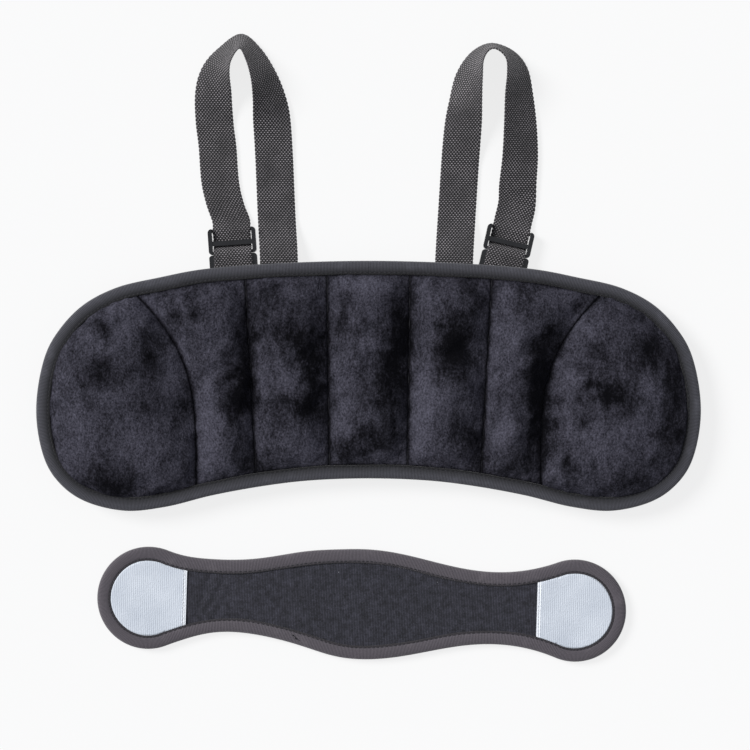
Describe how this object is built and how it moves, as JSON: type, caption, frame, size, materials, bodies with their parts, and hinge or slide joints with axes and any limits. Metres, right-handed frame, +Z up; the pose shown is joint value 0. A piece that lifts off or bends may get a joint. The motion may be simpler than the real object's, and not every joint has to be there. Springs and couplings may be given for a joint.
{
  "type": "back brace",
  "caption": "Quilted plush support pad with bound edge and buckled webbing loops, plus a separate contoured belt with hook-tape ends.",
  "frame": {"origin": "middle of the centre panel's flat underside, on the surface the part lies on", "axes": "+X along the pad's length to the right, +Y from the belt towards the webbing loops, +Z up through the plush side"},
  "size_m": [0.4318, 0.4108, 0.0261],
  "materials": {
    "plush": "short soft pile with a mottled nap",
    "lining": "plain woven backing",
    "foam": "open-cell foam",
    "binding": "ribbed tape, folded over the edge",
    "webbing": "plain-weave webbing",
    "plastic": "moulded plastic, slight gloss",
    "knit": "fine vertical rib knit",
    "belt_tape": "ribbed tape, folded over the edge",
    "hook": "fine hook tape"
  },
  "bodies": {
    "centre_panel": {"centre_panel_back_cover": "lining", "centre_panel_bottom_binding": "binding", "centre_panel_foam_core": "foam", "centre_panel_front_cover": "plush", "centre_panel_top_binding": "binding"},
    "left_inner_panel": {"left_inner_panel_back_cover": "lining", "left_inner_panel_bottom_binding": "binding", "left_inner_panel_foam_core": "foam", "left_inner_panel_front_cover": "plush", "left_inner_panel_top_binding": "binding", "left_strap_webbing": "webbing"},
    "left_outer_panel": {"left_outer_panel_back_cover": "lining", "left_outer_panel_bottom_binding": "binding", "left_outer_panel_foam_core": "foam", "left_outer_panel_front_cover": "plush", "left_outer_panel_top_binding": "binding", "left_strap_buckle_leg": "webbing", "left_buckle_plug": "plastic"},
    "left_wing": {"left_wing_back_cover": "lining", "left_wing_binding": "binding", "left_wing_foam_core": "foam", "left_wing_front_cover": "plush"},
    "left_socket": {"left_buckle_socket": "plastic", "left_buckle_tab": "webbing"},
    "left_outer_arm": {"left_buckle_outer_release_arm": "plastic"},
    "left_inner_arm": {"left_buckle_inner_release_arm": "plastic"},
    "right_inner_panel": {"right_inner_panel_back_cover": "lining", "right_inner_panel_bottom_binding": "binding", "right_inner_panel_foam_core": "foam", "right_inner_panel_front_cover": "plush", "right_inner_panel_top_binding": "binding", "right_strap_webbing": "webbing"},
    "right_outer_panel": {"right_outer_panel_back_cover": "lining", "right_outer_panel_bottom_binding": "binding", "right_outer_panel_foam_core": "foam", "right_outer_panel_front_cover": "plush", "right_outer_panel_top_binding": "binding", "right_strap_buckle_leg": "webbing", "right_buckle_plug": "plastic"},
    "right_wing": {"right_wing_back_cover": "lining", "right_wing_binding": "binding", "right_wing_foam_core": "foam", "right_wing_front_cover": "plush"},
    "right_socket": {"right_buckle_socket": "plastic", "right_buckle_tab": "webbing"},
    "right_outer_arm": {"right_buckle_outer_release_arm": "plastic"},
    "right_inner_arm": {"right_buckle_inner_release_arm": "plastic"},
    "belt": {"belt_centre_sheet": "knit", "belt_top_binding": "belt_tape", "belt_bottom_binding": "belt_tape"},
    "belt_left_end": {"belt_left_end_sheet": "knit", "belt_left_end_binding": "belt_tape", "belt_left_hook_patch": "hook"},
    "belt_right_end": {"belt_right_end_sheet": "knit", "belt_right_end_binding": "belt_tape", "belt_right_hook_patch": "hook"}
  },
  "joints": [
    {"name": "right_inner_fold", "type": "hinge", "parent": "centre_panel", "child": "right_inner_panel", "pos_m": [0.02615, -0.00023, 0.0145], "axis": [-0.0123, -0.9999, 0], "range_deg": [0, 30]},
    {"name": "right_outer_fold", "type": "hinge", "parent": "right_inner_panel", "child": "right_outer_panel", "pos_m": [0.07665, -0.004, 0.0145], "axis": [-0.0537, -0.9986, 0], "range_deg": [0, 30]},
    {"name": "right_wing_fold", "type": "hinge", "parent": "right_outer_panel", "child": "right_wing", "pos_m": [0.13125, -0.01336, 0.0145], "axis": [-0.2997, -0.954, 0], "range_deg": [0, 45]},
    {"name": "left_inner_fold", "type": "hinge", "parent": "centre_panel", "child": "left_inner_panel", "pos_m": [-0.02615, -0.00023, 0.0145], "axis": [-0.0123, 0.9999, 0], "range_deg": [0, 30]},
    {"name": "left_outer_fold", "type": "hinge", "parent": "left_inner_panel", "child": "left_outer_panel", "pos_m": [-0.07665, -0.004, 0.0145], "axis": [-0.0537, 0.9986, 0], "range_deg": [0, 30]},
    {"name": "left_wing_fold", "type": "hinge", "parent": "left_outer_panel", "child": "left_wing", "pos_m": [-0.13125, -0.01336, 0.0145], "axis": [-0.2997, 0.954, 0], "range_deg": [0, 45]},
    {"name": "left_buckle_slide", "type": "slide", "parent": "left_outer_panel", "child": "left_socket", "axis": [0.0698, -0.9976, 0], "range_m": [0, 0.024], "deforming": ["left_buckle_tab", "left_buckle_outer_release_arm", "left_buckle_inner_release_arm"]},
    {"name": "left_outer_arm_press", "type": "hinge", "parent": "left_outer_panel", "child": "left_outer_arm", "pos_m": [-0.09825, 0.07483, 0.0039], "axis": [0, 0, 1], "range_deg": [0, 8], "stiffness_Nm_per_rad": 0.02},
    {"name": "left_inner_arm_press", "type": "hinge", "parent": "left_outer_panel", "child": "left_inner_arm", "pos_m": [-0.07869, 0.0762, 0.0039], "axis": [0, 0, -1], "range_deg": [0, 8], "stiffness_Nm_per_rad": 0.02},
    {"name": "right_buckle_slide", "type": "slide", "parent": "right_outer_panel", "child": "right_socket", "axis": [-0.225, -0.9744, 0], "range_m": [0, 0.024], "deforming": ["right_buckle_tab", "right_buckle_outer_release_arm", "right_buckle_inner_release_arm"]},
    {"name": "right_outer_arm_press", "type": "hinge", "parent": "right_outer_panel", "child": "right_outer_arm", "pos_m": [0.09914, 0.07349, 0.0039], "axis": [0, 0, -1], "range_deg": [0, 8], "stiffness_Nm_per_rad": 0.02},
    {"name": "right_inner_arm_press", "type": "hinge", "parent": "right_outer_panel", "child": "right_inner_arm", "pos_m": [0.08004, 0.0779, 0.0039], "axis": [0, 0, 1], "range_deg": [0, 8], "stiffness_Nm_per_rad": 0.02},
    {"name": "belt_lift", "type": "slide", "parent": "centre_panel", "child": "belt", "axis": [0, 0, 1], "range_m": [0, 0.1]},
    {"name": "belt_right_end_fold", "type": "hinge", "parent": "belt", "child": "belt_right_end", "pos_m": [0.08246, -0.15571, 0.0058], "axis": [-0.03, -0.9995, 0], "range_deg": [0, 110]},
    {"name": "belt_left_end_fold", "type": "hinge", "parent": "belt", "child": "belt_left_end", "pos_m": [-0.09145, -0.15049, 0.0058], "axis": [0.03, 0.9995, 0], "range_deg": [0, 110]}
  ],
  "couplings": [
    {"joint": "left_inner_arm_press", "follows": "left_outer_arm_press", "ratio": 1},
    {"joint": "right_inner_arm_press", "follows": "right_outer_arm_press", "ratio": 1}
  ]
}
